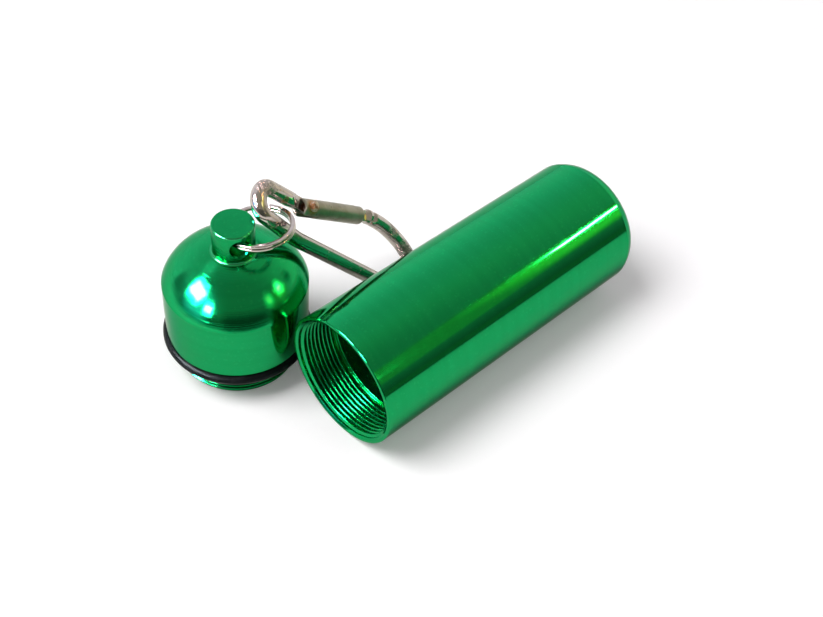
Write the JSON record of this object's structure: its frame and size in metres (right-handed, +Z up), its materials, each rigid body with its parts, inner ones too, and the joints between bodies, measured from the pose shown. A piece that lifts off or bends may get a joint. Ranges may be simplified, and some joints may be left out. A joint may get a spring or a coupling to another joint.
{
  "type": "waterproof capsule",
  "caption": "Turned screw-top capsule, opened: tube on its side, domed cap with rubber seal and cross-drilled knob standing beside it, split ring and snap hook on the knob",
  "frame": {"origin": "on the floor, under the middle of the opened capsule's bounding box", "axes": "+X runs along the tube from its mouth to its closed end, +Z is up, +Y points from the tube to the cap"},
  "size_m": [0.0814, 0.0524, 0.0368],
  "materials": {
    "green_anodised": "bright green anodised, glossy",
    "seal_rubber": "satin black",
    "ring_steel": "plated, bright",
    "hook_steel": "plated, bright, slightly pitted",
    "gate_steel": "plated, duller than the frame",
    "rivet_steel": "plain, lightly rusted",
    "spring_steel": "bright wire"
  },
  "bodies": {
    "capsule": {"capsule_body": "green_anodised"},
    "cap": {"cap": "green_anodised", "o_ring": "seal_rubber"},
    "ring": {"split_ring": "ring_steel"},
    "hook": {"hook_frame": "hook_steel", "gate_rivet": "rivet_steel"},
    "gate": {"hook_gate": "gate_steel", "gate_plunger": "spring_steel", "gate_spring": "spring_steel"}
  },
  "joints": [
    {"name": "cap_lift", "type": "slide", "parent": "capsule", "child": "cap", "axis": [0, 0, 1], "range_m": [0, 0.06]},
    {"name": "ring_swing", "type": "hinge", "parent": "cap", "child": "ring", "pos_m": [-0.027, 0.01254, 0.0297], "axis": [-0.3256, -0.9455, 0], "range_deg": [0, 150]},
    {"name": "hook_roll", "type": "hinge", "parent": "ring", "child": "hook", "pos_m": [-0.01891, 0.00952, 0.02874], "axis": [0.5649, -0.2585, -0.7836], "range_deg": [0, 30]},
    {"name": "gate_open", "type": "hinge", "parent": "hook", "child": "gate", "pos_m": [-0.0111, 0.01213, 0.02692], "axis": [-0.3774, 0.7636, -0.524], "range_deg": [0, 22], "stiffness_Nm_per_rad": 0.02, "springref_deg": -11.46}
  ]
}
